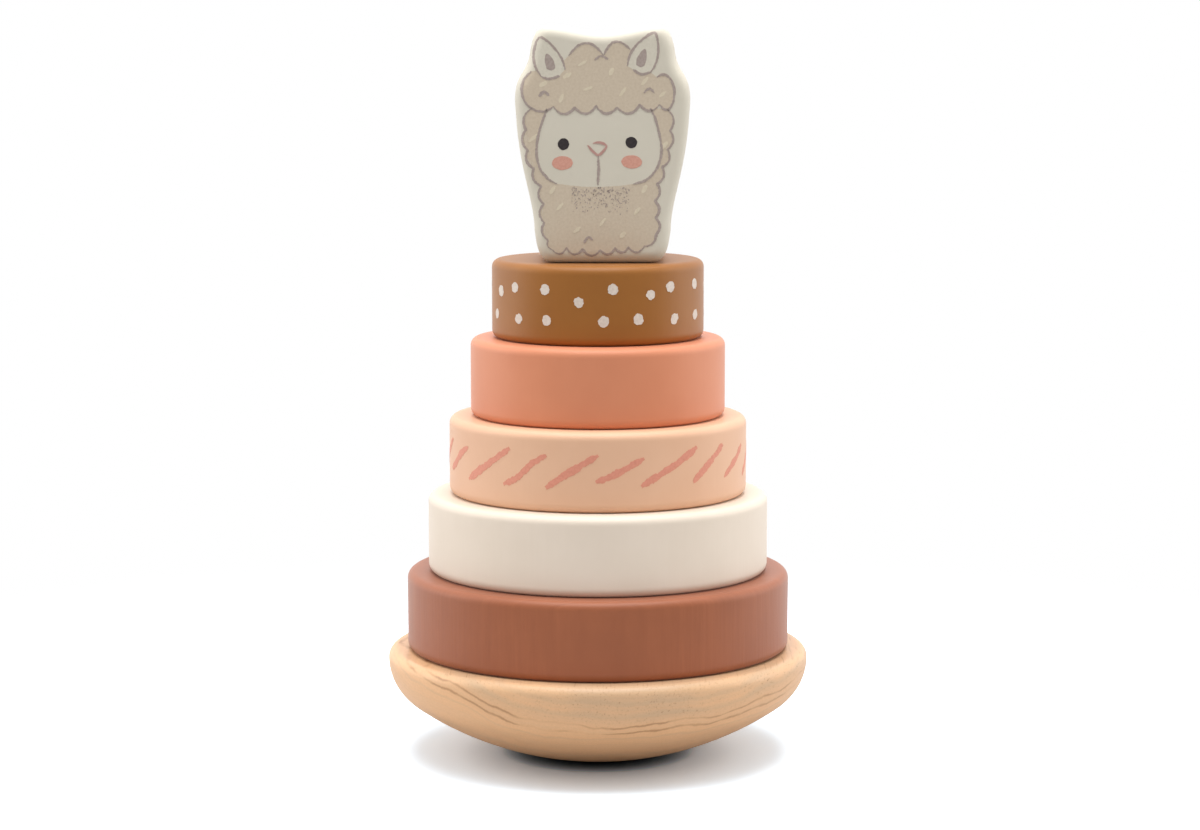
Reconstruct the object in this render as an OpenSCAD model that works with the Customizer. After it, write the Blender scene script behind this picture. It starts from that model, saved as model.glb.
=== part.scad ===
// Wooden stacking toy: a rocker base with a dowel, five rings that grow towards the base, and a
// block shaped like an alpaca's head and neck that closes the stack.
// Origin at the middle of the rocker's flat foot, +Z up, the alpaca's face towards -Y.

/* [Rocker base] */
// Diameter at the widest point
base_d = 108; // [100:1:130]
// Radius of the long curve that the toy rocks on
rocker_r = 84; // [70:1:102]
// Diameter of the flat in the middle of that curve
foot_d = 24; // [16:1:28]
// Radius between the rocking curve and the side
shoulder_r = 13.5; // [10:0.5:15]
// Radius of the upper edge
rim_r = 2.5; // [1.5:0.5:4]

/* [Dowel] */
// Diameter of the dowel
dowel_d = 14; // [12:0.2:17]
// Depth that the dowel is glued into the base
dowel_seat = 16; // [12:1:18]
// Length of the dowel that stands in the topper
dowel_reach = 22; // [16:1:28]
// Radius round the upper end of the dowel
dowel_tip_r = 4; // [2:0.5:5]
// Gap for the glue round the dowel in its socket, on the radius
glue_gap = 0.1; // [0.05:0.05:0.2]

/* [Rings] */
// Thickness of each ring
ring_h = 20; // [16:1:24]
// Diameter of the smallest ring
small_ring_d = 54; // [50:1:56]
// Growth in diameter from each ring to the one under it
ring_step = 11; // [9:0.5:12]
// Radius of a ring's outer edges
ring_edge_r = 2; // [1:0.5:3]
// Play between the dowel and each bore, on the radius
bore_play = 0.75; // [0.5:0.25:1.5]
// Radius round the ends of each bore
bore_edge_r = 1; // [0.5:0.25:1.5]

/* [Topper] */
// Width at the alpaca's cheeks
topper_w = 43.6; // [36:0.2:52]
// Height up to the ears
topper_h = 59; // [50:1:70]
// Thickness of the block
topper_t = 36; // [30:1:43]
// Radius round the front and back faces
topper_edge_r = 3; // [2:0.5:4]
// How far the outline stands to the right of the bore
topper_shift = 1.2; // [0:0.1:2]
// Air between the dowel's tip and the end of the topper's bore
tip_gap = 2; // [1:0.5:3]

/* [Hidden] */

// Levels count up from the base.
ring_count = 5;
function ring_d(level) = small_ring_d + (ring_count - 1 - level) * ring_step;
function ring_z(level) = base_h + level * ring_h;

// The rocker's section is three arcs that run into each other: rocking curve, shoulder, rim. Its
// height is kept to a hundredth of a millimetre, so that the rings stand at round heights too.
base_r = base_d / 2;
foot_r = foot_d / 2;
shoulder_x = base_r - shoulder_r;
arc_drop = sqrt(pow(rocker_r - shoulder_r, 2) - pow(shoulder_x, 2));
base_h = round(100 * (sqrt(pow(rocker_r, 2) - pow(foot_r, 2)) - arc_drop + rim_r)) / 100;
shoulder_z = base_h - rim_r;
rocker_z = shoulder_z + arc_drop;

bore_r = dowel_d / 2 + bore_play;
topper_z = ring_z(ring_count);
dowel_l = dowel_seat + ring_count * ring_h + dowel_reach;

// Right half of the topper's outline, in percent of its half width and of its height: it starts
// at the end of the flat underside, and each row is one cubic curve's two handles and its end.
outline_start = [53, 0];
outline_curves = [
    [[70, 0], [75, 4], [78, 14]],            // lower corner
    [[78.5, 27], [95.5, 39], [99, 63]],      // neck, widening to the cheek
    [[104.5, 81], [85, 78], [82, 90]],       // cheek, drawn in below the ear
    [[80, 94], [76, 100], [61, 100]],        // ear
    [[44, 100], [23, 97], [0, 97]]           // shallow dip between the ears
];
curve_steps = 7;
edge_steps = 5;
arc_step = 2.5; // degrees

spare = 1; // how far a cutting shape runs past the face it opens

$fn = 96;

function cubic(a, b, c, d, t) =
    a * pow(1 - t, 3) + 3 * b * t * pow(1 - t, 2) + 3 * c * t * t * (1 - t) + d * pow(t, 3);

function curve_start(i) = i == 0 ? outline_start : outline_curves[i - 1][2];

function half_outline() = [
    outline_start,
    for (i = [0 : len(outline_curves) - 1], k = [1 : curve_steps])
        let (row = outline_curves[i])
        cubic(curve_start(i), row[0], row[1], row[2], k / curve_steps)
];

function scaled(p, side) = [side * p[0] / 100 * topper_w / 2, p[1] / 100 * topper_h];

// What an edge of radius r leaves off the square corner at the origin of a section that fills
// the quarter plane towards -X and -Y
module corner_waste(r) {
    difference() {
        translate([-r, -r]) square(r + spare);
        translate([-r, -r]) circle(r);
    }
}

// Half section of a turned ring
module ring_section(outer_r) {
    difference() {
        translate([bore_r, 0]) square([outer_r - bore_r, ring_h]);
        for (top = [0, 1])
            translate([0, top * ring_h]) mirror([0, 1 - top]) {
                translate([outer_r, 0]) corner_waste(ring_edge_r);
                translate([bore_r, 0]) mirror([1, 0]) corner_waste(bore_edge_r);
            }
    }
}

module ring(level, paint) {
    color(paint)
        translate([0, 0, ring_z(level)])
            rotate_extrude() ring_section(ring_d(level) / 2);
}

// Points on an arc round a centre, without its first one, where the last shape ended
function arc(centre, r, from, to) =
    let (steps = max(4, ceil(abs(to - from) / arc_step)))
    [for (i = [1 : steps])
        let (a = from + (to - from) * i / steps)
        centre + r * [cos(a), sin(a)]];

module rocker_section() {
    foot_turn = -asin(rocker_z / rocker_r);
    shoulder_turn = -atan2(arc_drop, shoulder_x);
    polygon(concat(
        [[0, base_h], [0, 0], [rocker_r * cos(foot_turn), 0]],
        arc([0, rocker_z], rocker_r, foot_turn, shoulder_turn),
        arc([shoulder_x, shoulder_z], shoulder_r, shoulder_turn, 0),
        arc([base_r - rim_r, shoulder_z], rim_r, 0, 90)));
}

module rocker_base() {
    color("burlywood")
        difference() {
            rotate_extrude() rocker_section();
            translate([0, 0, base_h - dowel_seat])
                cylinder(r = dowel_d / 2 + glue_gap, h = dowel_seat + spare);
        }
}

module dowel() {
    color("wheat")
        translate([0, 0, base_h - dowel_seat])
            rotate_extrude()
                difference() {
                    square([dowel_d / 2, dowel_l]);
                    translate([dowel_d / 2, dowel_l]) corner_waste(dowel_tip_r);
                }
}

module terracotta_ring() { ring(0, "sienna"); }
module cream_ring() { ring(1, "antiquewhite"); }
module peach_ring() { ring(2, "peachpuff"); }
module coral_ring() { ring(3, "darksalmon"); }
module mustard_ring() { ring(4, "peru"); }

// Unit vector that points out of a closed, anticlockwise outline at its point i
function outward(outline, i) =
    let (n = len(outline), along = outline[(i + 1) % n] - outline[(i + n - 1) % n])
    [along[1], -along[0]] / norm(along);

// The outline swept from the front face to the back one, drawn in at both to round the edges
module topper_block() {
    half = half_outline();
    outline = concat(
        [for (p = half) scaled(p, 1)],
        [for (i = [len(half) - 2 : -1 : 0]) scaled(half[i], -1)]);
    n = len(outline);
    // each section's place along Y, and how far its outline is drawn in
    sections = [
        for (side = [-1, 1], k = [0 : edge_steps])
            let (turn = 90 * (side < 0 ? k : edge_steps - k) / edge_steps)
            [side * (topper_t / 2 - topper_edge_r * (1 - cos(turn))),
                topper_edge_r * (1 - sin(turn))]
    ];
    last = (len(sections) - 1) * n;
    points = concat(
        [for (row = sections, i = [0 : n - 1])
            let (p = outline[i] - row[1] * outward(outline, i))
            [p[0], row[0], p[1]]],
        [for (side = [-1, 1]) [0, side * topper_t / 2, topper_h / 2]]);
    front_middle = len(points) - 2;
    polyhedron(points, concat(
        [for (k = [0 : len(sections) - 2], i = [0 : n - 1], upper = [0, 1])
            let (a = k * n + i, b = k * n + (i + 1) % n)
            upper ? [a, b + n, a + n] : [a, b, b + n]],
        [for (i = [0 : n - 1]) [front_middle, (i + 1) % n, i]],
        [for (i = [0 : n - 1]) [front_middle + 1, last + i, last + (i + 1) % n]]));
}

// Blind bore with a rounded mouth
module topper_bore() {
    rotate_extrude() {
        translate([0, -spare]) square([bore_r, dowel_reach + tip_gap + spare]);
        translate([bore_r, 0])
            difference() {
                translate([0, -spare]) square([bore_edge_r, bore_edge_r + spare]);
                translate([bore_edge_r, bore_edge_r]) circle(bore_edge_r);
            }
    }
}

module alpaca_topper() {
    color("linen")
        translate([0, 0, topper_z])
            difference() {
                translate([topper_shift, 0, 0]) topper_block();
                topper_bore();
            }
}

rocker_base();
dowel();
terracotta_ring();
cream_ring();
peach_ring();
coral_ring();
mustard_ring();
alpaca_topper();
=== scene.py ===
"""Looks of a wooden stacking toy: a clear-lacquered rocker base with its dowel, five turned and
painted rings, and a painted block with an alpaca printed on its front.

Everything is in metres in the part's own frame: the origin under the middle of the base, +Z up
and -Y towards whoever looks at the alpaca's face.
"""
import math
import random

import bmesh
import bpy
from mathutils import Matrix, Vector


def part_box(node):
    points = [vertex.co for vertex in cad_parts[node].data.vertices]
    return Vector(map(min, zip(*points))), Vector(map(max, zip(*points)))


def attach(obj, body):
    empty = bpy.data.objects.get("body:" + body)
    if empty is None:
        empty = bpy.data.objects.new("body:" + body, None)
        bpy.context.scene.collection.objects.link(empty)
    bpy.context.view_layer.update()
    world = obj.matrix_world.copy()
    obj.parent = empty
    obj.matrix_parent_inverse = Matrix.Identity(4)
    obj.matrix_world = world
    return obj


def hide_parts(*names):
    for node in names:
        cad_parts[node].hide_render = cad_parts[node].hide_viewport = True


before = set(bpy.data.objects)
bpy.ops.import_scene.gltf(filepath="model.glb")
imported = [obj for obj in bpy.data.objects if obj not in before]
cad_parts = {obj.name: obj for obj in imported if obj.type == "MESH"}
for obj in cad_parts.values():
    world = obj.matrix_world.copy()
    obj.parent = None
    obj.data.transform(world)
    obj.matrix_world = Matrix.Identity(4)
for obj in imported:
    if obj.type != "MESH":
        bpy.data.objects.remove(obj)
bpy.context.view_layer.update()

MM = 0.001

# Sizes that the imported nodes' boxes don't give, the same as the part's own.
ROCKER_R = 84 * MM       # long curve under the base
SHOULDER_R = 13.5 * MM   # between that curve and the side
RIM_R = 2.5 * MM         # upper edge of the base
SOCKET_GAP = 0.1 * MM    # glue round the dowel
BORE_PLAY = 0.75 * MM    # between the dowel and each bore
RING_EDGE_R = 2 * MM
BORE_EDGE_R = 1 * MM
DOWEL_TIP_R = 4 * MM
TOPPER_EDGE_R = 3 * MM
BORE_AIR = 2 * MM        # above the dowel's tip in the topper

RINGS = ["terracotta", "cream", "peach", "coral", "mustard"]   # from the base up
TURN_STEPS = 256         # facets round a turned piece
FLAT_MARGIN = 0.3 * MM   # ring of vertices that keeps a flat face flat up to its rounded edge

# Ink stands this far proud of the paint and reaches this far into it, so that no two faces meet.
INK_THICK = 0.05 * MM
INK_SUNK = 0.03 * MM
INK_LAYER = 0.018 * MM   # each print over another on the topper stands this much higher
RAY_START = -0.2         # in front of the block: from here the ink falls back on to it
RAY_LENGTH = 0.4

# The sheet that printed areas are cut from reaches past the block all round.
SHEET_W, SHEET_H = 46 * MM, 64 * MM
SHEET_FOOT = -3 * MM
SHEET_CELL = 0.5 * MM

CREASE = math.radians(35)   # edges sharper than this stay crisp


# ---------------------------------------------------------------- nodes, materials

def add(tree, kind, inputs=None, **settings):
    """Adds a node. Each input takes a plain value, another node's output, or a tuple of outputs;
    a node itself stands for its first output."""
    node = tree.nodes.new(kind)
    for name, value in settings.items():
        setattr(node, name, value)
    for key, value in (inputs or {}).items():
        sources = value if isinstance(value, tuple) else (value,)
        for source in sources:
            if isinstance(source, bpy.types.Node):
                source = source.outputs[0]
            if isinstance(source, bpy.types.NodeSocket):
                tree.links.new(source, node.inputs[key])
            else:
                node.inputs[key].default_value = source
    return node


def srgb(hex_colour):
    """An sRGB hex colour as the linear RGBA that Blender's sockets take."""
    channels = [int(hex_colour[i:i + 2], 16) / 255 for i in (1, 3, 5)]
    return [c / 12.92 if c <= 0.04045 else ((c + 0.055) / 1.055) ** 2.4 for c in channels] + [1]


def per_metre(size):
    """The texture scale at which one blob or wave of a pattern is about size metres wide."""
    return 1 / size


def emptied(owner):
    """The node tree of a material or a world, with nothing in it."""
    owner.use_nodes = True
    owner.node_tree.nodes.clear()
    return owner.node_tree


def start_material(name, **shader_inputs):
    """An empty material with a Principled shader; returns it, its tree and the shader."""
    material = bpy.data.materials.new(name)
    tree = emptied(material)
    inputs = {key.replace("_", " "): value for key, value in shader_inputs.items()}
    shader = add(tree, "ShaderNodeBsdfPrincipled", inputs)
    add(tree, "ShaderNodeOutputMaterial", {"Surface": shader})
    return material, tree, shader


def satin_paint(name, colour, shade, grain=0.0, bloom=0.0):
    """Water-based paint sprayed on turned wood. The eye sees a soft satin face, a very fine
    orange peel, a faint unevenness of coat, and where the coat is thin the lines of the grain:
    grain is how strongly they show. Bloom is the chalky paleness at glancing edges."""
    material, tree, shader = start_material(name, Roughness=0.5, IOR=1.45, Sheen_Weight=bloom,
                                            Sheen_Roughness=0.35)
    place = add(tree, "ShaderNodeTexCoord").outputs["Object"]
    coat = add(tree, "ShaderNodeTexNoise",
               {"Vector": place, "Scale": per_metre(22 * MM), "Detail": 3.0, "Roughness": 0.55})
    # Board grain runs along X and its year rings lie across Y, so it draws fine upright lines on
    # the ring's sides, which widen and part towards its front.
    along = add(tree, "ShaderNodeMapping",
                {"Vector": place, "Scale": [per_metre(45 * MM), per_metre(0.7 * MM),
                                            per_metre(28 * MM)]})
    lines = add(tree, "ShaderNodeTexNoise",
                {"Vector": along, "Scale": 1.0, "Detail": 4.0, "Roughness": 0.7})
    shown = add(tree, "ShaderNodeMapRange",
                {"Value": lines.outputs["Fac"], "From Min": 0.35, "From Max": 0.68,
                 "To Max": grain})
    level = add(tree, "ShaderNodeMapRange",
                {"Value": coat.outputs["Fac"], "From Min": 0.3, "From Max": 0.7, "To Max": 0.55})
    even = add(tree, "ShaderNodeMix",
               {"Factor": level, "A": srgb(colour), "B": srgb(shade)}, data_type="RGBA")
    darker = add(tree, "ShaderNodeMix",
                 {"Factor": shown, "A": even.outputs["Result"], "B": srgb(shade)}, data_type="RGBA")
    tree.links.new(darker.outputs["Result"], shader.inputs["Base Color"])
    peel = add(tree, "ShaderNodeTexNoise",
               {"Vector": place, "Scale": per_metre(1.1 * MM), "Detail": 2.0})
    relief = add(tree, "ShaderNodeBump",
                 {"Height": peel.outputs["Fac"], "Strength": 0.6, "Distance": 0.012 * MM})
    sunk = add(tree, "ShaderNodeBump",
               {"Height": shown, "Strength": 1.0, "Distance": 0.03 * MM,
                "Normal": relief}, invert=True)
    tree.links.new(sunk.outputs[0], shader.inputs["Normal"])
    return material


def grained_wood(name, pale, cloudy, line, grain, pith, start):
    """Pale close-grained hardwood under a thin clear coat. The eye sees soft bands of warmer and
    greyer wood, a few thin brown lines where growth stopped, short dark pores and a low sheen.

    Grain gives how much each axis counts as across the grain, pith the middle of the year rings,
    and start how far from the pith the brown lines begin."""
    material, tree, shader = start_material(name, Roughness=0.42, IOR=1.42)
    place = add(tree, "ShaderNodeTexCoord").outputs["Object"]
    wander = add(tree, "ShaderNodeTexNoise",
                 {"Vector": place, "Scale": per_metre(24 * MM), "Detail": 3.0, "Roughness": 0.5})
    from_pith = add(tree, "ShaderNodeMapping",
                    {"Vector": place, "Location": [-c * g for c, g in zip(pith, grain)],
                     "Scale": grain})
    ring_r = add(tree, "ShaderNodeVectorMath", {0: from_pith}, operation="LENGTH")
    stray = add(tree, "ShaderNodeMapRange",
                {"Value": wander.outputs["Fac"], "From Min": 0.25, "From Max": 0.75,
                 "To Min": -1.6 * MM, "To Max": 1.6 * MM})
    roughly = add(tree, "ShaderNodeMath", {0: ring_r.outputs["Value"], 1: stray}, operation="ADD")
    shake = add(tree, "ShaderNodeTexNoise",
                {"Vector": place, "Scale": per_metre(5 * MM), "Detail": 4.0, "Roughness": 0.7})
    shaken = add(tree, "ShaderNodeMapRange",
                 {"Value": shake.outputs["Fac"], "From Min": 0.25, "From Max": 0.75,
                  "To Min": -0.28 * MM, "To Max": 0.28 * MM})
    year = add(tree, "ShaderNodeMath", {0: roughly, 1: shaken}, operation="ADD")
    bands = add(tree, "ShaderNodeMath", {0: year, 1: per_metre(2.6 * MM)}, operation="MULTIPLY")
    band = add(tree, "ShaderNodeTexNoise", {"W": bands, "Scale": 1.0, "Detail": 3.0,
                                            "Roughness": 0.6}, noise_dimensions="1D")
    fibres = add(tree, "ShaderNodeMapping",
                 {"Vector": place, "Scale": [per_metre(0.5 * MM if g else 14 * MM) for g in grain]})
    fibre = add(tree, "ShaderNodeTexNoise", {"Vector": fibres, "Scale": 1.0,
                                             "Detail": 3.0, "Roughness": 0.65})
    # Past the brown lines the wood is plain; before them it is greyer and has the pores.
    inner = add(tree, "ShaderNodeMapRange",
                {"Value": year, "From Min": start - 3 * MM, "From Max": start + 1 * MM,
                 "To Min": 1.0, "To Max": 0.0}, interpolation_type="SMOOTHSTEP")
    cloud = add(tree, "ShaderNodeMapRange",
                {"Value": wander.outputs["Fac"], "From Min": 0.35, "From Max": 0.65,
                 "To Min": 0.25, "To Max": 0.95})
    clouded = add(tree, "ShaderNodeMath", {0: inner, 1: cloud}, operation="MULTIPLY")
    banded = add(tree, "ShaderNodeMapRange",
                 {"Value": band.outputs["Fac"], "From Min": 0.3, "From Max": 0.7,
                  "To Min": -0.3, "To Max": 0.45})
    tone = add(tree, "ShaderNodeMath", {0: clouded, 1: banded}, operation="ADD", use_clamp=True)
    wood = add(tree, "ShaderNodeMix",
               {"Factor": tone, "A": srgb(pale), "B": srgb(cloudy)}, data_type="RGBA")
    past = add(tree, "ShaderNodeMath", {0: year, 1: start}, operation="SUBTRACT")
    near_line = add(tree, "ShaderNodeMath", {0: past, 1: 1.0 * MM}, operation="PINGPONG")
    thin = add(tree, "ShaderNodeMapRange",
               {"Value": near_line, "From Min": 0.02 * MM, "From Max": 0.5 * MM,
                "To Min": 1.0, "To Max": 0.0}, interpolation_type="SMOOTHSTEP")
    spread = add(tree, "ShaderNodeMath", {0: past, 1: 1.5 * MM}, operation="SUBTRACT")
    off = add(tree, "ShaderNodeMath", {0: spread}, operation="ABSOLUTE")
    few = add(tree, "ShaderNodeMapRange",
              {"Value": off, "From Min": 1.6 * MM, "From Max": 2.2 * MM,
               "To Min": 1.0, "To Max": 0.06})
    patchy = add(tree, "ShaderNodeTexNoise",
                 {"Vector": place, "Scale": per_metre(9 * MM), "Detail": 2.0})
    broken = add(tree, "ShaderNodeMapRange",
                 {"Value": patchy.outputs["Fac"], "From Min": 0.38, "From Max": 0.62,
                  "To Min": 0.1, "To Max": 0.6})
    lines = add(tree, "ShaderNodeMath", {0: thin, 1: few}, operation="MULTIPLY")
    drawn = add(tree, "ShaderNodeMath", {0: lines, 1: broken}, operation="MULTIPLY")
    pore = add(tree, "ShaderNodeMapRange",
               {"Value": fibre.outputs["Fac"], "From Min": 0.6, "From Max": 0.7, "To Max": 0.6})
    inner_pore = add(tree, "ShaderNodeMath", {0: pore, 1: clouded}, operation="MULTIPLY")
    marks = add(tree, "ShaderNodeMath", {0: drawn, 1: inner_pore}, operation="MAXIMUM")
    soft_fibre = add(tree, "ShaderNodeMapRange",
                     {"Value": fibre.outputs["Fac"], "From Min": 0.3, "From Max": 0.7,
                      "To Max": 0.12})
    dark = add(tree, "ShaderNodeMath", {0: marks, 1: soft_fibre}, operation="ADD", use_clamp=True)
    done = add(tree, "ShaderNodeMix",
               {"Factor": dark, "A": wood.outputs["Result"], "B": srgb(line)}, data_type="RGBA")
    tree.links.new(done.outputs["Result"], shader.inputs["Base Color"])
    relief = add(tree, "ShaderNodeBump",
                 {"Height": marks, "Strength": 1.0, "Distance": 0.006 * MM}, invert=True)
    tree.links.new(relief.outputs[0], shader.inputs["Normal"])
    return material


def printed_ink(name, colour, shade):
    """Screen-printed ink on paint. The eye sees a matt, slightly uneven coat with a fine grit
    where it took badly."""
    material, tree, shader = start_material(name, Roughness=0.6, IOR=1.45)
    place = add(tree, "ShaderNodeTexCoord").outputs["Object"]
    grit = add(tree, "ShaderNodeTexNoise",
               {"Vector": place, "Scale": per_metre(0.6 * MM), "Detail": 3.0})
    level = add(tree, "ShaderNodeMapRange",
                {"Value": grit.outputs["Fac"], "From Min": 0.35, "From Max": 0.7})
    even = add(tree, "ShaderNodeMix",
               {"Factor": level, "A": srgb(colour), "B": srgb(shade)}, data_type="RGBA")
    tree.links.new(even.outputs["Result"], shader.inputs["Base Color"])
    return material


PAINTS = {
    "terracotta": satin_paint("terracotta_satin_paint", "#A15D3B", "#8E5032", grain=0.5,
                              bloom=0.16),
    "cream": satin_paint("cream_satin_paint", "#E2D4C4", "#D8C9B7", grain=0.15),
    "peach": satin_paint("peach_satin_paint", "#E1B595", "#D8A887", grain=0.1),
    "coral": satin_paint("coral_satin_paint", "#D68A66", "#CC7E5A", grain=0.1, bloom=0.05),
    "mustard": satin_paint("mustard_satin_paint", "#9E6424", "#90581C", grain=0.15, bloom=0.07),
    "ivory": satin_paint("ivory_satin_paint", "#D3CCBC", "#CCC5B4", grain=0.05),
}
BASE_WOOD = grained_wood("lacquered_hardwood", "#E4B588", "#CBA986", "#96663F", [1, 0, 1],
                         [10 * MM, 0, 166 * MM], 148.4 * MM)
DOWEL_WOOD = grained_wood("sanded_beech", "#E0C39A", "#CDAF86", "#A57C52", [1, 1, 0],
                          [40 * MM, 22 * MM, 0], 42 * MM)
INKS = {
    "white": printed_ink("white_ink", "#DCCFC3", "#CFC1B4"),
    "pink": printed_ink("pink_ink", "#DB927B", "#D28871"),
    "wool": printed_ink("beige_ink", "#CBBCA7", "#C4B49E"),
    "line": printed_ink("taupe_ink", "#AC9D95", "#9D8E86"),
    "eye": printed_ink("black_ink", "#3A3233", "#2E2728"),
    "cheek": printed_ink("blush_ink", "#D49D8B", "#CB917F"),
    "ear": printed_ink("pale_ear_ink", "#D3CCBC", "#CCC5B4"),
    "dab": printed_ink("cream_ink", "#D6CAB3", "#D0C3AA"),
    "nose": printed_ink("russet_ink", "#BD938A", "#B0867C"),
}


# ---------------------------------------------------------------- meshes

def new_object(name, data):
    obj = bpy.data.objects.new(name, data)
    bpy.context.scene.collection.objects.link(obj)
    return obj


def close_up(mesh):
    """Merges doubles, turns every face outwards, and shades smooth up to the creases."""
    work = bmesh.new()
    work.from_mesh(mesh)
    bmesh.ops.remove_doubles(work, verts=work.verts, dist=0.0005 * MM)
    bmesh.ops.recalc_face_normals(work, faces=work.faces)
    work.to_mesh(mesh)
    work.free()
    mesh.shade_smooth()
    mesh.set_sharp_from_angle(angle=CREASE)


def plain_mesh(obj):
    """Swaps what an object's modifiers make for a plain mesh, and drops the modifiers."""
    bpy.context.view_layer.update()
    graph = bpy.context.evaluated_depsgraph_get()
    mesh = bpy.data.meshes.new_from_object(obj.evaluated_get(graph), depsgraph=graph)
    mesh.name = obj.name
    obj.modifiers.clear()
    obj.data = mesh
    close_up(mesh)
    return obj


def arc(centre, radius, start, end, steps):
    """Points on an arc round (x, z), from one angle to another in radians, both ends in."""
    turns = [start + (end - start) * i / steps for i in range(steps + 1)]
    return [(centre[0] + radius * math.cos(t), centre[1] + radius * math.sin(t)) for t in turns]


def turned(name, profile, material):
    """A piece turned from its half section: points (radius, z) from one pole to the other."""
    points = [profile[0]] + [b for a, b in zip(profile, profile[1:]) if math.dist(a, b) > 1e-7]
    verts, rows = [], []
    for r, z in points:
        pole = r < 1e-9
        steps = 1 if pole else TURN_STEPS
        rows.append([len(verts) + i for i in range(steps)] * (TURN_STEPS if pole else 1))
        verts += [(r * math.sin(2 * math.pi * i / TURN_STEPS),
                   -r * math.cos(2 * math.pi * i / TURN_STEPS), z) for i in range(steps)]
    faces = []
    for low, high in zip(rows, rows[1:]):
        for i in range(TURN_STEPS):
            j = (i + 1) % TURN_STEPS
            corners = [low[i], low[j], high[j], high[i]]
            faces.append(sorted(set(corners), key=corners.index))
    mesh = bpy.data.meshes.new(name)
    mesh.from_pydata(verts, [], faces)
    mesh.materials.append(material)
    close_up(mesh)
    return new_object(name, mesh)


# ---------------------------------------------------------------- geometry nodes

SOCKETS = {float: "NodeSocketFloat", bool: "NodeSocketBool",
           "material": "NodeSocketMaterial", "object": "NodeSocketObject"}


def start_tree(name, geometry_in, **inputs):
    """A geometry tree with named inputs, each given by its type; returns it and its input node."""
    tree = bpy.data.node_groups.new(name, "GeometryNodeTree")
    tree.interface.new_socket("Geometry", in_out="OUTPUT", socket_type="NodeSocketGeometry")
    if geometry_in:
        tree.interface.new_socket("Geometry", in_out="INPUT", socket_type="NodeSocketGeometry")
    for label, kind in inputs.items():
        tree.interface.new_socket(label.replace("_", " "), in_out="INPUT",
                                  socket_type=SOCKETS[kind])
    return tree, add(tree, "NodeGroupInput").outputs


def end_tree(tree, geometry, material):
    """Ends a tree as every tree here ends: real geometry, one material."""
    real = add(tree, "GeometryNodeRealizeInstances", {"Geometry": geometry})
    done = add(tree, "GeometryNodeSetMaterial", {"Geometry": real, "Material": material})
    add(tree, "NodeGroupOutput", {"Geometry": done})


def grow(name, tree, mesh=None, **values):
    """Runs a tree on a mesh with these input values; the piece that comes back is a plain mesh."""
    obj = new_object(name, mesh or bpy.data.meshes.new(name))
    modifier = obj.modifiers.new(tree.name, "NODES")
    modifier.node_group = tree
    wanted = {label.replace("_", " "): value for label, value in values.items()}
    for item in tree.interface.items_tree:
        if item.in_out == "INPUT" and item.name in wanted:
            modifier[item.identifier] = wanted.pop(item.name)
    assert not wanted, wanted
    return plain_mesh(obj)


def turned_ring_tree():
    """A ring turned on a lathe: a section with four rounded corners, swept round the axis."""
    tree, given = start_tree("turned_ring", False, Outer_Radius=float, Bore_Radius=float,
                             Height=float, Foot=float, Edge_Radius=float,
                             Bore_Edge_Radius=float, Paint="material")
    wall = add(tree, "ShaderNodeMath", {0: given["Outer Radius"], 1: given["Bore Radius"]},
               operation="SUBTRACT")
    both = add(tree, "ShaderNodeMath", {0: given["Outer Radius"], 1: given["Bore Radius"]},
               operation="ADD")
    middle = add(tree, "ShaderNodeMath", {0: both, 1: 2.0}, operation="DIVIDE")
    section = add(tree, "GeometryNodeCurvePrimitiveQuadrilateral",
                  {"Width": wall, "Height": given["Height"]}, mode="RECTANGLE")
    here = add(tree, "GeometryNodeInputPosition")
    across = add(tree, "ShaderNodeSeparateXYZ", {0: here})
    outside = add(tree, "FunctionNodeCompare", {"A": across.outputs["X"], "B": 0.0},
                  data_type="FLOAT", operation="GREATER_THAN")
    rounding = add(tree, "GeometryNodeSwitch",
                   {"Switch": outside, "False": given["Bore Edge Radius"],
                    "True": given["Edge Radius"]}, input_type="FLOAT")
    rounded = add(tree, "GeometryNodeFilletCurve",
                  {"Curve": section, "Count": 9, "Radius": rounding}, mode="POLY")
    # Even, short steps keep the flat faces flat right up to the rounded corners.
    even = add(tree, "GeometryNodeResampleCurve",
               {"Curve": rounded, "Length": 0.45 * MM}, mode="LENGTH")
    path = add(tree, "GeometryNodeCurvePrimitiveCircle",
               {"Resolution": TURN_STEPS, "Radius": middle}, mode="RADIUS")
    level = add(tree, "GeometryNodeSetCurveNormal", {"Curve": path}, mode="Z_UP")
    swept = add(tree, "GeometryNodeCurveToMesh", {"Curve": level, "Profile Curve": even})
    lift = add(tree, "ShaderNodeMath", {0: given["Height"], 1: 0.5, 2: given["Foot"]},
               operation="MULTIPLY_ADD")
    up = add(tree, "ShaderNodeCombineXYZ", {"Z": lift})
    placed = add(tree, "GeometryNodeTransform", {"Geometry": swept, "Translation": up})
    end_tree(tree, placed, given["Paint"])
    return tree


def roughened(tree, flat, given):
    """Jogs a flat shape's points about at random, so that its edges are drawn by hand."""
    here = add(tree, "GeometryNodeInputPosition")
    grit = add(tree, "ShaderNodeTexNoise",
               {"Vector": here, "W": given["Seed"], "Scale": given["Grit"], "Detail": 2.0},
               noise_dimensions="4D")
    centred = add(tree, "ShaderNodeVectorMath",
                  {0: grit.outputs["Color"], 1: [0.5, 0.5, 0.5]}, operation="SUBTRACT")
    level = add(tree, "ShaderNodeVectorMath", {0: centred, 1: [1, 1, 0]}, operation="MULTIPLY")
    jog = add(tree, "ShaderNodeVectorMath", {0: level, "Scale": given["Raggedness"]},
              operation="SCALE")
    ragged = add(tree, "GeometryNodeSetPosition", {"Geometry": flat, "Offset": jog})
    return ragged


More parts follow.
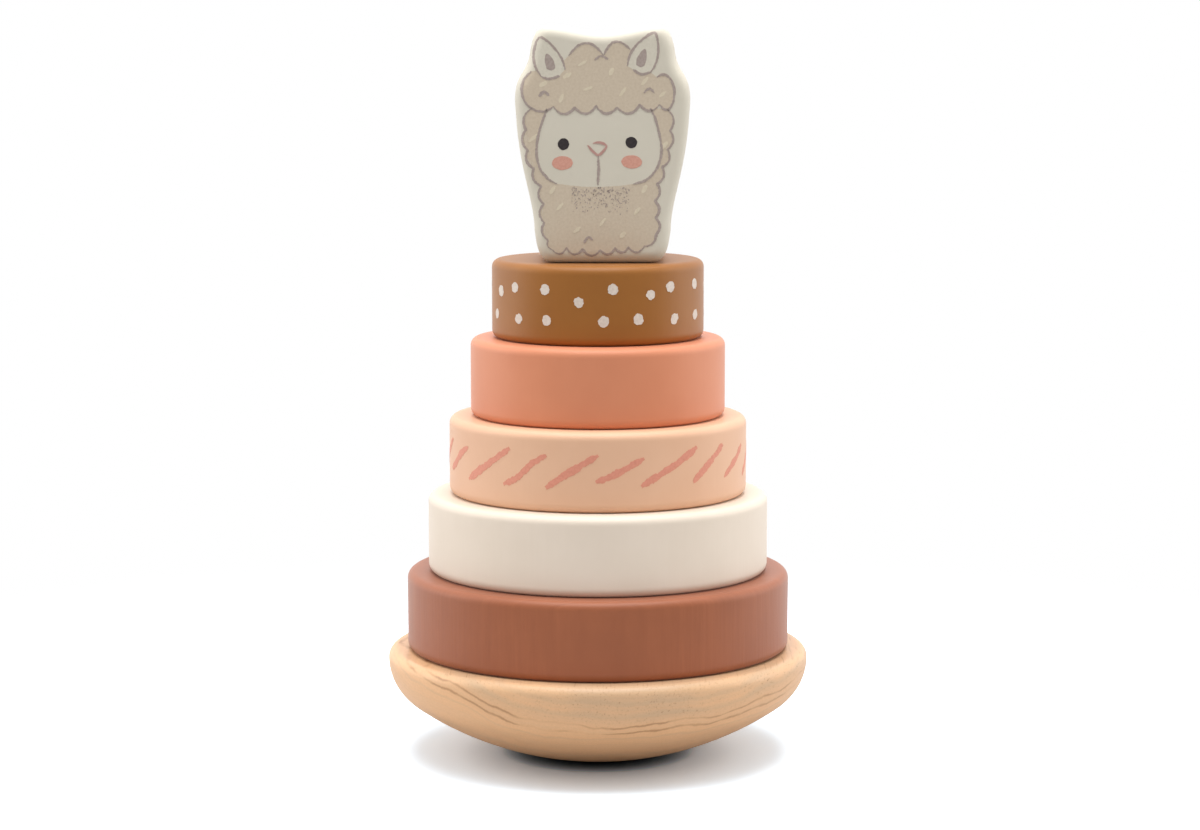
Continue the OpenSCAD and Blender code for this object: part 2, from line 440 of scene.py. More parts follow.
def slab(tree, flat, thickness):
    """A closed body that stands this thick on a flat mesh."""
    body = add(tree, "GeometryNodeExtrudeMesh",
               {"Mesh": flat, "Offset": [0, 0, 1], "Individual": False,
                "Offset Scale": thickness}, mode="FACES")
    under = add(tree, "GeometryNodeFlipFaces", {"Mesh": flat})
    both = add(tree, "GeometryNodeJoinGeometry", {"Geometry": (body.outputs["Mesh"], under)})
    closed = add(tree, "GeometryNodeMergeByDistance", {"Geometry": both, "Distance": 0.001 * MM})
    return closed


def end_ink(tree, closed, given):
    """Lays a thin closed body of ink on its surface, and ends the tree.

    The body is drawn in X and Y, which become the way round the ring, or across the block's
    front, and up. Reach is how far the ring's side is from the axis; on a block the ink drops
    back on to whatever part of the front, flat or rounded, is behind it."""
    here = add(tree, "GeometryNodeInputPosition")
    flat_place = add(tree, "ShaderNodeSeparateXYZ", {0: here})
    above = add(tree, "ShaderNodeMath", {0: flat_place.outputs["Z"], 1: INK_SUNK},
                operation="SUBTRACT")
    out = add(tree, "ShaderNodeMath", {0: above, 1: given["Reach"]}, operation="ADD")
    up = add(tree, "ShaderNodeMath", {0: flat_place.outputs["Y"], 1: given["Foot"]},
             operation="ADD")
    turn = add(tree, "ShaderNodeMath", {0: flat_place.outputs["X"], 1: given["Reach"]},
               operation="DIVIDE")
    sine = add(tree, "ShaderNodeMath", {0: turn}, operation="SINE")
    cosine = add(tree, "ShaderNodeMath", {0: turn}, operation="COSINE")
    round_x = add(tree, "ShaderNodeMath", {0: sine, 1: out}, operation="MULTIPLY")
    forward = add(tree, "ShaderNodeMath", {0: cosine, 1: out}, operation="MULTIPLY")
    x = add(tree, "GeometryNodeSwitch",
            {"Switch": given["Round"], "False": flat_place.outputs["X"], "True": round_x},
            input_type="FLOAT")
    block = add(tree, "GeometryNodeObjectInfo", {"Object": given["Block"]},
                transform_space="RELATIVE")
    start = add(tree, "ShaderNodeCombineXYZ",
                {"X": flat_place.outputs["X"], "Y": RAY_START, "Z": up})
    behind = add(tree, "GeometryNodeRaycast",
                 {"Target Geometry": block.outputs["Geometry"],
                  "Source Position": start, "Ray Direction": [0, 1, 0], "Ray Length": RAY_LENGTH})
    met = add(tree, "ShaderNodeSeparateXYZ", {0: behind.outputs["Hit Position"]})
    block_back = add(tree, "ShaderNodeMath", {0: met.outputs["Y"], 1: above}, operation="SUBTRACT")
    ring_back = add(tree, "ShaderNodeMath", {0: forward, 1: -1.0}, operation="MULTIPLY")
    back = add(tree, "GeometryNodeSwitch",
               {"Switch": given["Round"], "False": block_back, "True": ring_back},
               input_type="FLOAT")
    place = add(tree, "ShaderNodeCombineXYZ", {"X": x, "Y": back, "Z": up})
    laid = add(tree, "GeometryNodeSetPosition", {"Geometry": closed, "Position": place})
    end_tree(tree, laid, given["Ink"])
    return tree


INK_INPUTS = {"Thickness": float, "Raggedness": float, "Grit": float, "Seed": float,
              "Reach": float, "Foot": float, "Round": bool, "Block": "object",
              "Ink": "material"}


def dab_tree():
    """Dots and dabs: one on each point of the mesh, sized and turned by its mark attribute."""
    tree, given = start_tree("printed_dabs", True, **INK_INPUTS)
    mark = add(tree, "GeometryNodeInputNamedAttribute", {"Name": "mark"}, data_type="FLOAT_VECTOR")
    size = add(tree, "ShaderNodeSeparateXYZ", {0: mark})
    scale = add(tree, "ShaderNodeCombineXYZ",
                {"X": size.outputs["X"], "Y": size.outputs["Y"], "Z": 1.0})
    turn = add(tree, "ShaderNodeCombineXYZ", {"Z": size.outputs["Z"]})
    disc = add(tree, "GeometryNodeMeshCircle", {"Vertices": 24, "Radius": 0.5},
               fill_type="TRIANGLE_FAN")
    spread = add(tree, "GeometryNodeInstanceOnPoints",
                 {"Points": given["Geometry"], "Instance": disc, "Rotation": turn, "Scale": scale})
    real = add(tree, "GeometryNodeRealizeInstances", {"Geometry": spread})
    body = slab(tree, roughened(tree, real, given), given["Thickness"])
    return end_ink(tree, body, given)


def stroke_tree():
    """Crayon strokes: a ribbon along each line of the mesh, thick and thin, drawn out at its
    ends."""
    tree, given = start_tree("drawn_strokes", True, Width=float, **INK_INPUTS)
    line = add(tree, "GeometryNodeMeshToCurve", {"Mesh": given["Geometry"]})
    even = add(tree, "GeometryNodeResampleCurve",
               {"Curve": line, "Length": 0.22 * MM}, mode="LENGTH")
    factor = add(tree, "GeometryNodeSplineParameter").outputs["Factor"]
    rest = add(tree, "ShaderNodeMath", {0: 1.0, 1: factor}, operation="SUBTRACT")
    near_end = add(tree, "ShaderNodeMath", {0: factor, 1: rest}, operation="MINIMUM")
    taper = add(tree, "ShaderNodeMapRange",
                {"Value": near_end, "From Min": 0.0, "From Max": 0.12, "To Min": 0.5,
                 "To Max": 1.0}, interpolation_type="SMOOTHSTEP")
    here = add(tree, "GeometryNodeInputPosition")
    press = add(tree, "ShaderNodeTexNoise",
                {"Vector": here, "W": given["Seed"], "Scale": per_metre(3 * MM)},
                noise_dimensions="4D")
    pressed = add(tree, "ShaderNodeMapRange",
                  {"Value": press.outputs["Fac"], "From Min": 0.3, "From Max": 0.7,
                   "To Min": 0.7, "To Max": 1.2})
    width = add(tree, "ShaderNodeMath", {0: taper, 1: pressed}, operation="MULTIPLY")
    wide = add(tree, "ShaderNodeMath", {0: width, 1: given["Width"]}, operation="MULTIPLY")
    level = add(tree, "GeometryNodeSetCurveNormal", {"Curve": even}, mode="Z_UP")
    tip = add(tree, "GeometryNodeCurvePrimitiveLine", {"Start": [-0.5, 0, 0], "End": [0.5, 0, 0]})
    tip_points = add(tree, "GeometryNodeResampleCurve", {"Curve": tip, "Count": 5}, mode="COUNT")
    ribbon = add(tree, "GeometryNodeCurveToMesh",
                 {"Curve": level, "Profile Curve": tip_points, "Scale": wide})
    body = slab(tree, roughened(tree, ribbon, given), given["Thickness"])
    return end_ink(tree, body, given)


def patch_tree():
    """Printed areas: each closed line of the mesh, filled."""
    tree, given = start_tree("printed_patches", True, **INK_INPUTS)
    line = add(tree, "GeometryNodeMeshToCurve", {"Mesh": given["Geometry"]})
    even = add(tree, "GeometryNodeResampleCurve",
               {"Curve": line, "Length": 0.3 * MM}, mode="LENGTH")
    each = add(tree, "GeometryNodeInputIndex")
    own = add(tree, "GeometryNodeFieldOnDomain", {0: each}, data_type="INT", domain="CURVE")
    filled = add(tree, "GeometryNodeFillCurve", {"Curve": even, "Group ID": own}, mode="TRIANGLES")
    cutter_foot = add(tree, "GeometryNodeTransform",
                      {"Geometry": roughened(tree, filled, given), "Translation": [0, 0, -MM]})
    cutter = slab(tree, cutter_foot, 2 * MM)
    # Cut out of a fine sheet, an area has points enough to follow the block's rounded edge.
    sheet = add(tree, "GeometryNodeMeshGrid",
                {"Size X": SHEET_W, "Size Y": SHEET_H,
                "Vertices X": round(SHEET_W / SHEET_CELL) + 1,
                "Vertices Y": round(SHEET_H / SHEET_CELL) + 1})
    placed = add(tree, "GeometryNodeTransform",
                 {"Geometry": sheet.outputs["Mesh"],
                  "Translation": [0, SHEET_FOOT + SHEET_H / 2, 0]})
    # The areas' outlines cross themselves where tufts meet, which the solver is told to expect.
    cut = add(tree, "GeometryNodeMeshBoolean",
              {"Mesh 2": (slab(tree, placed, given["Thickness"]), cutter),
               "Self Intersection": True, "Hole Tolerant": True},
              operation="INTERSECT", solver="EXACT")
    return end_ink(tree, cut.outputs["Mesh"], given)


# ---------------------------------------------------------------- drawing

def through(points, steps=8):
    """A smooth line through given points."""
    ends = [points[0]] + list(points) + [points[-1]]
    line = []
    for a, b, c, d in zip(ends, ends[1:], ends[2:], ends[3:]):
        for k in range(steps):
            t = k / steps
            line.append(tuple(
                0.5 * (2 * q + (r - p) * t + (2 * p - 5 * q + 4 * r - s) * t * t
                       + (3 * q - p - 3 * r + s) * t ** 3)
                for p, q, r, s in zip(a, b, c, d)))
    return line + [tuple(points[-1])]


def scallops(cusps, bulge, steps=10):
    """Tufts of wool: between each two cusps a bow that stands out on the right of the way along,
    by bulge times the distance between them."""
    line = [cusps[0]]
    for (ax, ay), (bx, by) in zip(cusps, cusps[1:]):
        cx = (ax + bx) / 2 + (by - ay) * 2 * bulge
        cy = (ay + by) / 2 - (bx - ax) * 2 * bulge
        for k in range(1, steps + 1):
            t = k / steps
            line.append((ax * (1 - t) ** 2 + 2 * cx * t * (1 - t) + bx * t * t,
                         ay * (1 - t) ** 2 + 2 * cy * t * (1 - t) + by * t * t))
    return line


def flat_lines(lines, closed=False):
    """Lines given in millimetres, as a mesh of edges for the trees."""
    verts, edges = [], []
    for line in lines:
        first = len(verts)
        verts += [(x * MM, y * MM, 0) for x, y in line]
        edges += [(i, i + 1) for i in range(first, len(verts) - 1)]
        if closed:
            edges.append((len(verts) - 1, first))
    mesh = bpy.data.meshes.new("lines")
    mesh.from_pydata(verts, edges, [])
    return mesh


def flat_points(marks):
    """Marks (x, y, width, height, turn in degrees), in millimetres, as points for the dab tree."""
    mesh = bpy.data.meshes.new("points")
    mesh.from_pydata([(x * MM, y * MM, 0) for x, y, _, _, _ in marks], [], [])
    attribute = mesh.attributes.new("mark", "FLOAT_VECTOR", "POINT")
    for item, (_, _, width, height, turn) in zip(attribute.data, marks):
        item.vector = (width * MM, height * MM, math.radians(turn))
    return mesh


# ---------------------------------------------------------------- stage and camera

def soft_box(name, place, size, energy, target=(0, 0, 0.09)):
    light = bpy.data.lights.new(name, "AREA")
    light.shape = "RECTANGLE"
    light.size, light.size_y = size
    light.energy = energy
    obj = new_object(name, light)
    obj.location = place
    obj.rotation_euler = (Vector(target) - Vector(place)).to_track_quat("-Z", "Y").to_euler()


def build_camera():
    bpy.context.scene.view_settings.view_transform = "Standard"
    camera = bpy.data.cameras.new("camera")
    camera.sensor_width = 36.0
    camera.lens = 92.85
    camera.clip_start = 0.01
    obj = new_object("camera", camera)
    obj.location = (0.55 * MM, -787.4 * MM, 188.1 * MM)
    obj.rotation_euler = (math.radians(90 - 7.27), 0, 0)
    bpy.context.scene.camera = obj


FLOOR_R = 0.4
FLOOR_Z = -0.02 * MM
FADE_START, FADE_END = 0.14, 0.3   # from the toy's axis, where the floor turns clear
CONTACT = 3 * MM                   # how close the toy has to be for its shadow to deepen


def build_stage():
    """Pale floor that fades into a white surround, with the toy's soft shadow on it. Ambient
    occlusion darkens it where the rocker all but touches it."""
    material = bpy.data.materials.new("matt_white_floor")
    tree = emptied(material)
    seen = add(tree, "ShaderNodeLightPath").outputs["Is Camera Ray"]
    shown = add(tree, "ShaderNodeMix",
                {"Factor": seen, "A": [0.6, 0.6, 0.6, 1], "B": [1.14, 1.32, 1.48, 1]},
                data_type="RGBA")
    near = add(tree, "ShaderNodeAmbientOcclusion",
               {"Color": shown.outputs["Result"], "Distance": CONTACT}, samples=8)
    matt = add(tree, "ShaderNodeBsdfDiffuse", {"Color": near.outputs["Color"]})
    clear = add(tree, "ShaderNodeBsdfTransparent")
    place = add(tree, "ShaderNodeTexCoord").outputs["Object"]
    far = add(tree, "ShaderNodeVectorMath", {0: place}, operation="LENGTH").outputs["Value"]
    fade = add(tree, "ShaderNodeMapRange",
               {"Value": far, "From Min": FADE_START, "From Max": FADE_END},
               interpolation_type="SMOOTHERSTEP")
    mixed = add(tree, "ShaderNodeMixShader", {0: fade, 1: matt, 2: clear})
    add(tree, "ShaderNodeOutputMaterial", {"Surface": mixed})
    mesh = bpy.data.meshes.new("floor")
    rim = arc((0, 0), FLOOR_R, 0, 2 * math.pi, 96)[:-1]
    mesh.from_pydata([(x, y, FLOOR_Z) for x, y in rim], [], [list(range(len(rim)))])
    mesh.materials.append(material)
    new_object("floor", mesh)

    world = bpy.data.worlds.new("studio")
    bpy.context.scene.world = world
    tree = emptied(world)
    # The paint's glancing edges mirror a bright wall behind the toy, its front a dimmer room.
    way = add(tree, "ShaderNodeTexCoord").outputs["Generated"]
    parts = add(tree, "ShaderNodeSeparateXYZ", {0: way})
    wall = add(tree, "ShaderNodeMapRange",
               {"Value": parts.outputs["Y"], "From Min": -0.4, "From Max": 0.6,
                "To Min": 0.25, "To Max": 1.5}, interpolation_type="SMOOTHSTEP")
    room = add(tree, "ShaderNodeMapRange",
               {"Value": parts.outputs["Z"], "From Min": -0.35, "From Max": 0.1,
                "To Min": 0.34, "To Max": 0.67}, interpolation_type="SMOOTHSTEP")
    path = add(tree, "ShaderNodeLightPath")
    mirrored = add(tree, "ShaderNodeMix",
                   {"Factor": path.outputs["Is Glossy Ray"], "A": room,
                    "B": wall}, data_type="FLOAT")
    strength = add(tree, "ShaderNodeMix",
                   {"Factor": path.outputs["Is Camera Ray"], "A": mirrored.outputs["Result"],
                    "B": 1.0}, data_type="FLOAT")
    sky = add(tree, "ShaderNodeBackground",
              {"Color": [1, 1, 1, 1], "Strength": strength.outputs["Result"]})
    add(tree, "ShaderNodeOutputWorld", {"Surface": sky})
    soft_box("overhead", (0, -0.1, 0.9), (0.7, 0.7), energy=9.1)
    soft_box("left", (-0.8, 0.1, 0.35), (0.5, 0.8), energy=2.9)
    soft_box("right", (0.8, 0.1, 0.35), (0.5, 0.8), energy=2.7)


build_camera()
build_stage()

# ---------------------------------------------------------------- the toy

base_low, base_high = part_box("rocker_base")
dowel_low, dowel_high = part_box("dowel")
DOWEL_R = dowel_high.x


def build_base():
    base_r, base_h = base_high.x, base_high.z
    shoulder_x, shoulder_z = base_r - SHOULDER_R, base_h - RIM_R
    drop = math.sqrt((ROCKER_R - SHOULDER_R) ** 2 - shoulder_x ** 2)
    rocker_z = shoulder_z + drop
    shoulder_turn = -math.atan2(drop, shoulder_x)
    foot_turn = -math.asin(rocker_z / ROCKER_R)
    foot_r = ROCKER_R * math.cos(foot_turn)
    socket_r = DOWEL_R + SOCKET_GAP
    profile = [(0, dowel_low.z), (socket_r, dowel_low.z), (socket_r, base_h),
               (base_r - RIM_R - FLAT_MARGIN, base_h)]
    profile += arc((base_r - RIM_R, shoulder_z), RIM_R, math.pi / 2, 0, 10)
    profile += arc((shoulder_x, shoulder_z), SHOULDER_R, 0, shoulder_turn, 24)
    profile += arc((0, rocker_z), ROCKER_R, shoulder_turn, foot_turn, 40)
    profile += [(foot_r - FLAT_MARGIN, 0), (0, 0)]
    piece = turned("wooden_rocker", profile, BASE_WOOD)
    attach(piece, "base")
    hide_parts("rocker_base")


def build_dowel():
    top = dowel_high.z
    profile = [(0, dowel_low.z), (DOWEL_R, dowel_low.z), (DOWEL_R, top - DOWEL_TIP_R - FLAT_MARGIN)]
    profile += arc((DOWEL_R - DOWEL_TIP_R, top - DOWEL_TIP_R), DOWEL_TIP_R, 0, math.pi / 2, 12)
    profile += [(0, top)]
    piece = turned("beech_dowel", profile, DOWEL_WOOD)
    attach(piece, "base")
    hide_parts("dowel")


def build_rings():
    tree = turned_ring_tree()
    for name in RINGS:
        low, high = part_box(name + "_ring")
        piece = grow(name + "_turned_ring", tree, Outer_Radius=high.x,
                     Bore_Radius=DOWEL_R + BORE_PLAY, Height=high.z - low.z, Foot=low.z,
                     Edge_Radius=RING_EDGE_R, Bore_Edge_Radius=BORE_EDGE_R, Paint=PAINTS[name])
        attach(piece, name)
        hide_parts(name + "_ring")


# Right half of the topper's outline, in percent of its half width and of its height: it starts
# at the end of the flat underside, and each row is one cubic curve's two handles and its end.
OUTLINE_START = (53, 0)
OUTLINE_CURVES = [
    [(70, 0), (75, 4), (78, 14)],            # lower corner
    [(78.5, 27), (95.5, 39), (99, 63)],      # neck, widening to the cheek
    [(104.5, 81), (85, 78), (82, 90)],       # cheek, drawn in below the ear
    [(80, 94), (76, 100), (61, 100)],        # ear
    [(44, 100), (23, 97), (0, 97)],          # shallow dip between the ears
]


def topper_outline(half_width, height, steps=14):
    """The topper's closed outline (x, z), anticlockwise from the right end of its underside."""
    half, start = [OUTLINE_START], OUTLINE_START
    for a, b, end in OUTLINE_CURVES:
        for k in range(1, steps + 1):
            t = k / steps
            half.append(tuple(
                p * (1 - t) ** 3 + 3 * q * t * (1 - t) ** 2 + 3 * r * t * t * (1 - t) + s * t ** 3
                for p, q, r, s in zip(start, a, b, end)))
        start = end
    right = [(x / 100 * half_width, z / 100 * height) for x, z in half]
    right.insert(0, (right[0][0] - FLAT_MARGIN, 0))
    return right + [(-x, z) for x, z in reversed(right[:-1])]


def drawn_in(outline, depth):
    """The outline moved inwards by depth, each point along its own normal."""
    moved = []
    for i, (x, z) in enumerate(outline):
        (ax, az), (bx, bz) = outline[i - 1], outline[(i + 1) % len(outline)]
        length = math.dist((ax, az), (bx, bz))
        moved.append((x - (bz - az) / length * depth, z + (bx - ax) / length * depth))
    return moved


def build_topper():
    low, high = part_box("alpaca_topper")
    middle, half_t = (low.x + high.x) / 2, (high.y - low.y) / 2
    outline = topper_outline((high.x - low.x) / 2, high.z - low.z)
    steps = 10
    rows = [(half_t, TOPPER_EDGE_R + FLAT_MARGIN)]
    for k in range(steps + 1):
        turn = math.pi / 2 * k / steps
        rows.append((half_t - TOPPER_EDGE_R * (1 - math.cos(turn)),
                     TOPPER_EDGE_R * (1 - math.sin(turn))))
    rows.append((half_t - TOPPER_EDGE_R - FLAT_MARGIN, 0))
    sections = [(-y, depth) for y, depth in rows] + [(y, depth) for y, depth in reversed(rows)]
    verts = [(middle + x, y, low.z + z)
             for y, depth in sections for x, z in drawn_in(outline, depth)]
    n = len(outline)
    faces = [list(range(n)), list(range(len(verts) - n, len(verts)))]
    faces += [[k * n + i, k * n + (i + 1) % n, (k + 1) * n + (i + 1) % n, (k + 1) * n + i]
              for k in range(len(sections) - 1) for i in range(n)]
    mesh = bpy.data.meshes.new("alpaca_block")
    mesh.from_pydata(verts, [], faces)
    mesh.materials.append(PAINTS["ivory"])
    close_up(mesh)
    block = new_object("alpaca_block", mesh)

    bore_r = DOWEL_R + BORE_PLAY
    mouth = bore_r + BORE_EDGE_R
    profile = [(0, low.z - MM), (mouth, low.z - MM)]
    profile += arc((mouth, low.z + BORE_EDGE_R), BORE_EDGE_R, -math.pi / 2, -math.pi, 8)
    profile += [(bore_r, dowel_high.z + BORE_AIR), (0, dowel_high.z + BORE_AIR)]
    drill = turned("drill", profile, PAINTS["ivory"])
    cut = block.modifiers.new("bore", "BOOLEAN")
    cut.object = drill
    cut.solver = "EXACT"
    plain_mesh(block)
    bpy.data.objects.remove(drill)
    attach(block, "topper")
    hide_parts("alpaca_topper")
    return block


# Dots round the smallest ring: each row's height, and its dots' places in degrees from the front
# with how far each strays up or down. They are dabbed by hand, so no two gaps are the same.
DOT_SIZE = 2.6   # millimetres
DOT_ROWS = [
    (13.6, [(-174, 0.5), (-152, -1), (-131, 0.4), (-109, -2), (-86, 0.6), (-64, -0.9),
            (-50, 0.4), (-29, 0.4), (-10, -2.5), (8, 0.7), (29, -0.9), (42, 0.8), (64, 0.9),
            (85, -0.6), (107, 0.7), (128, -1.8), (150, 0.3), (171, -0.4)]),
    (6.4, [(-162, 0.3), (-141, -0.4), (-120, 0.5), (-94, 0), (-70, 0.3), (-47, -0.1), (-28, 0),
           (3, -0.1), (22, 0.4), (45, 0), (65, 0.3), (93, -0.3), (116, 0.4), (139, -0.2),
           (161, 0.1), (182, 0.4)]),
]

# Strokes round the middle ring: each one's lower end and upper end, in degrees from the front
# and millimetres up from the ring's foot.
STROKES = [
    (-173, 6.4, -152, 14.8), (-153, 7, -136, 13.9), (-135, 6.2, -113, 15.2),
    (-114, 6.9, -94, 14.4), (-95, 6.1, -75, 14.9), (-76, 7.3, -59, 13.9), (-58, 6, -35, 15.3),
    (-37.5, 6, -19.5, 14.7), (-20, 6.4, 0, 14.6), (-1, 7.6, 17, 13.9), (16, 6.5, 40, 15.6),
    (38, 6.6, 55, 15.2), (56, 6.7, 73, 13.6), (74, 6.2, 95, 15), (94, 7, 112, 14.2),
    (113, 6.3, 134, 15.1), (133, 6.8, 151, 14), (152, 6.2, 171, 14.9), (170, 7, 186, 13.8),
]
STROKE_W = 1.75   # millimetres


def print_on_ring(name, ring, tree, mesh, ink, slot, **values):
    low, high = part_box(ring + "_ring")
    piece = grow(name, tree, mesh, Thickness=INK_THICK + INK_SUNK, Reach=high.x,
                 Foot=low.z, Round=True, Ink=INKS[ink], **values)
    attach(piece, ring)


def build_ring_prints():
    wobble = random.Random(4)
    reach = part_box("mustard_ring")[1].x / MM
    marks = [(math.radians(degrees) * reach, height + stray, DOT_SIZE * wobble.uniform(0.88, 1.08),
              DOT_SIZE * wobble.uniform(0.9, 1.12), wobble.uniform(0, 180))
             for height, row in DOT_ROWS for degrees, stray in row]
    print_on_ring("white_dots", "mustard", dab_tree(), flat_points(marks),
                  "white", "white_ink", Raggedness=0.95 * MM, Grit=per_metre(0.7 * MM), Seed=3.0)
    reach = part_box("peach_ring")[1].x / MM
    lines = []
    for start, low, end, high in STROKES:
        a, b = math.radians(start) * reach, math.radians(end) * reach
        bow = [(a + (b - a) * t + wobble.uniform(-0.35, 0.35),
                low + (high - low) * t + wobble.uniform(-0.35, 0.35)) for t in (0, 0.3, 0.65, 1)]
        lines.append(through(bow))
    print_on_ring("pink_strokes", "peach", STROKE_TREE, flat_lines(lines),
                  "pink", "pink_ink", Width=STROKE_W * MM, Raggedness=0.95 * MM,
                  Grit=per_metre(0.6 * MM), Seed=8.0)


# The alpaca, drawn in millimetres across from the bore's axis and up from the block's foot. Tufts
# of wool are given by the points where they meet, and by how far they bulge between them.
PENCIL_W = 0.62
FRINGE_BULGE = 0.33
LEFT_TUFT_BULGE = 0.36
RIGHT_TUFT_BULGE = 0.4
SIDE_BULGE = 0.24
HEM_BULGE = 0.36
LEFT_LOBE = [(-16.4, 47.6), (-18.3, 45.6), (-18.8, 42.6), (-17.9, 39.9), (-15.6, 38.1),
             (-13.0, 37.8), (-11.0, 39.0)]
FRINGE = [(-11.0, 39.0), (-5.7, 38.7), (-0.4, 39.2), (4.8, 38.7), (10.4, 39.5), (15.3, 39.5)]
RIGHT_LOBE = [(15.3, 39.5), (16.4, 38.3), (17.7, 38.4), (18.7, 40.3), (18.9, 43.2),
              (18.0, 45.7), (16.3, 46.9), (14.6, 46.2)]
LEFT_TUFT = [(1.4, 51.6), (-7.2, 51.4)]
RIGHT_TUFT = [(8.0, 53.0), (1.6, 51.7)]
LEFT_EAR = [(-8.1, 48.1), (-8.9, 50.7), (-10.7, 53.3), (-12.7, 55.2), (-14.4, 56.0),
            (-15.5, 54.0), (-15.9, 51.2), (-15.4, 48.7), (-13.9, 46.3)]
RIGHT_EAR = [(7.3, 48.9), (7.9, 51.5), (9.4, 53.9), (11.6, 55.9), (14.0, 57.1),
             (14.8, 55.0), (14.9, 52.2), (14.3, 49.5), (13.1, 47.5)]
LEFT_EAR_FOOT = [(-13.9, 46.3), (-11.9, 45.8), (-9.4, 46.5)]
RIGHT_EAR_FOOT = [(13.1, 47.5), (10.8, 46.9), (8.7, 48.1)]
LEFT_WOOL = [(-16.2, 38.6), (-17.8, 33.2), (-17.4, 28.2), (-15.9, 23.7), (-14.0, 19.3),
             (-13.4, 14.9), (-13.3, 10.2), (-12.4, 5.9), (-11.4, 3.5)]
HEM = [(-11.4, 3.5), (-7.8, 4.0), (-3.7, 3.6), (0.6, 3.4), (4.3, 3.9), (7.6, 4.1), (11.6, 4.4)]
RIGHT_WOOL = [(11.6, 4.4), (14.5, 7.2), (14.4, 11.4), (14.1, 15.7), (14.7, 19.9), (16.0, 24.0),
              (17.3, 28.4), (17.9, 33.0), (17.0, 38.4)]
LEFT_CHEEK_LINE = [(-12.6, 38.4), (-14.5, 32.8), (-15.2, 27.8), (-14.4, 23.8), (-12.4, 21.2),
                   (-10.2, 19.9)]
RIGHT_CHEEK_LINE = [(13.0, 38.6), (14.3, 35.8), (15.4, 31.4), (15.8, 27.6), (14.6, 23.6),
                    (12.1, 20.9), (8.7, 19.8)]
NOSE = [(-2.5, 29.4), (-1.3, 28.0), (0.1, 27.0), (1.4, 28.0), (2.1, 29.3), (0.4, 30.1),
        (-1.2, 29.9)]
SNOUT = [(0.1, 27.0), (0.2, 23.2), (0.0, 19.6)]
CURLS = [[(-0.8, 50.4), (0.8, 51.4), (2.6, 50.6)], [(-3.4, 5.2), (-2.4, 6.6), (-1.2, 5.9)],
         [(-14.6, 41.5), (-13.2, 42.6), (-12.0, 41.6)], [(11.4, 42.4), (12.8, 43.4), (14.0, 42.3)]]
INNER_EARS = [[(-12.6, 48.2), (-13.1, 50.4), (-12.6, 52.0), (-11.2, 50.8), (-10.5, 48.6),
               (-11.5, 47.8)],
              [(9.5, 49.2), (9.8, 51.2), (11.6, 53.2), (12.1, 51.4), (11.6, 49.2), (10.6, 48.6)]]
WOOL_DABS = [(-13.5, 44.5), (-7.6, 46.6), (-2.4, 43.4), (3.4, 47.6), (6.2, 42.6), (11.6, 45.2),
             (-3.8, 49.6), (16.0, 42.0), (-9.4, 14.2), (-5.2, 8.4), (1.2, 10.4), (6.2, 7.2),
             (9.8, 13.2), (-11.2, 18.4), (11.6, 18.6), (-16.0, 31.2), (16.5, 29.4), (-9.0, 41.0)]
CHIN = [(-10.2, 19.9), (-4, 19.2), (3, 19.2), (8.7, 19.8)]
CAP_LEFT, CAP_RIGHT = (-10.5, 48.4), (11.0, 49.0)   # where the cap passes behind the ears
EYES = [(-8.5, 29.7, 2.8, 2.9, 0), (8.3, 30.1, 2.9, 2.8, 0)]
CHEEKS = [(-8.8, 25, 5.2, 3.4, 2), (8.4, 25.3, 5.2, 3.3, -3)]
FRECKLES = 240


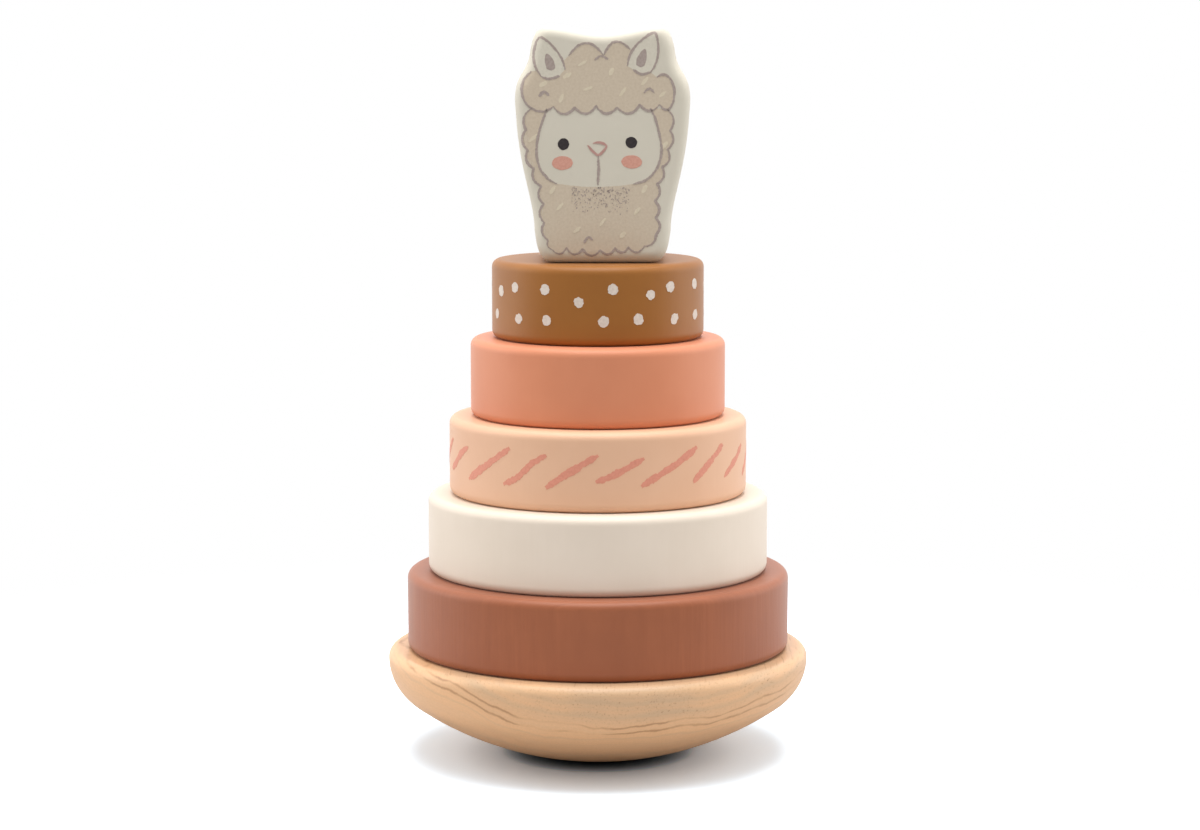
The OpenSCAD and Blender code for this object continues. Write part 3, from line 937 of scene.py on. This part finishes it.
def build_face(block):
    """Own simple drawing of an alpaca: woolly cap and neck, ears, eyes, blushing cheeks, nose."""
    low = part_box("alpaca_topper")[0]
    fringe = scallops(FRINGE, FRINGE_BULGE)
    left_lobe, right_lobe = through(LEFT_LOBE), through(RIGHT_LOBE)
    left_tuft = scallops(LEFT_TUFT, LEFT_TUFT_BULGE)
    right_tuft = scallops(RIGHT_TUFT, RIGHT_TUFT_BULGE)
    left_ear, right_ear = through(LEFT_EAR), through(RIGHT_EAR)
    left_ear_foot, right_ear_foot = through(LEFT_EAR_FOOT), through(RIGHT_EAR_FOOT)
    left_wool, right_wool = scallops(LEFT_WOOL, SIDE_BULGE), scallops(RIGHT_WOOL, SIDE_BULGE)
    hem = scallops(HEM, HEM_BULGE)
    left_cheek, right_cheek = through(LEFT_CHEEK_LINE), through(RIGHT_CHEEK_LINE)
    lines = [left_lobe, fringe, right_lobe, left_tuft, right_tuft, left_ear, right_ear,
             left_ear_foot, right_ear_foot, left_wool, hem, right_wool, left_cheek, right_cheek,
             through(SNOUT)] + [through(c) for c in CURLS]
    cap = left_lobe + fringe + right_lobe + [CAP_RIGHT] + right_tuft + left_tuft + [CAP_LEFT]
    neck = left_wool + hem + right_wool + right_cheek + through(CHIN)[::-1] + left_cheek[::-1]
    ears = [left_ear + left_ear_foot[1:-1], right_ear + right_ear_foot[1:-1]]
    inner_ears = [through(e) for e in INNER_EARS]
    speckle = random.Random(11)
    freckles = []
    for _ in range(FRECKLES):
        size = speckle.uniform(0.14, 0.36)
        freckles.append((speckle.uniform(-6.6, 7.8), speckle.triangular(12.2, 19.3, 18.4),
                         size, size * speckle.uniform(0.8, 1.2), 0))
    dab_marks = [(x, y, speckle.uniform(1.9, 2.9), speckle.uniform(0.7, 1.1),
                  speckle.uniform(20, 70)) for x, y in WOOL_DABS]
    where = {"Reach": -low.y, "Foot": low.z, "Round": False, "Block": block}

    def ink(name, tree, mesh, layer, colour, slot, **values):
        piece = grow(name, tree, mesh, Thickness=INK_SUNK + layer * INK_LAYER,
                     Ink=INKS[colour], **where, **values)
        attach(piece, "topper")

    patches = patch_tree()
    for name, areas, layer, colour, slot, seed in [
            ("printed_neck", [neck], 1, "wool", "wool_ink", 1.0),
            ("printed_cap", [cap], 2, "wool", "wool_ink", 1.0),
            ("printed_ears", ears, 3, "ear", "ivory_paint", 1.0),
            ("inner_ears", inner_ears, 4, "line", "line_ink", 7.0)]:
        ink(name, patches, flat_lines(areas, closed=True), layer, colour, slot,
            Raggedness=0.25 * MM, Grit=per_metre(0.8 * MM), Seed=seed)
    ink("drawn_lines", STROKE_TREE, flat_lines(lines), 5, "line", "line_ink",
        Width=PENCIL_W * MM, Raggedness=0.55 * MM, Grit=per_metre(0.45 * MM), Seed=5.0)
    ink("drawn_nose", STROKE_TREE, flat_lines([through(NOSE)]), 6,
        "nose", "cheek_ink", Width=PENCIL_W * MM, Raggedness=0.3 * MM,
        Grit=per_metre(0.5 * MM), Seed=9.0)
    dabs = dab_tree()
    for name, marks, layer, colour, slot, ragged, grit, seed in [
            ("freckles", freckles, 4, "line", "line_ink", 0.1 * MM, 0.4 * MM, 4.0),
            ("wool_dabs", dab_marks, 4, "dab", "wool_ink", 0.6 * MM, 0.7 * MM, 12.0),
            ("black_eyes", EYES, 3, "eye", "eye_ink", 0.4 * MM, 0.6 * MM, 2.0),
            ("blushing_cheeks", CHEEKS, 3, "cheek", "cheek_ink", 0.35 * MM, 0.8 * MM, 6.0)]:
        ink(name, dabs, flat_points(marks), layer, colour, slot,
            Raggedness=ragged, Grit=per_metre(grit), Seed=seed)


STROKE_TREE = stroke_tree()   # shared by the ring and the face

build_base()
build_dowel()
build_rings()
alpaca_block = build_topper()
build_ring_prints()
build_face(alpaca_block)
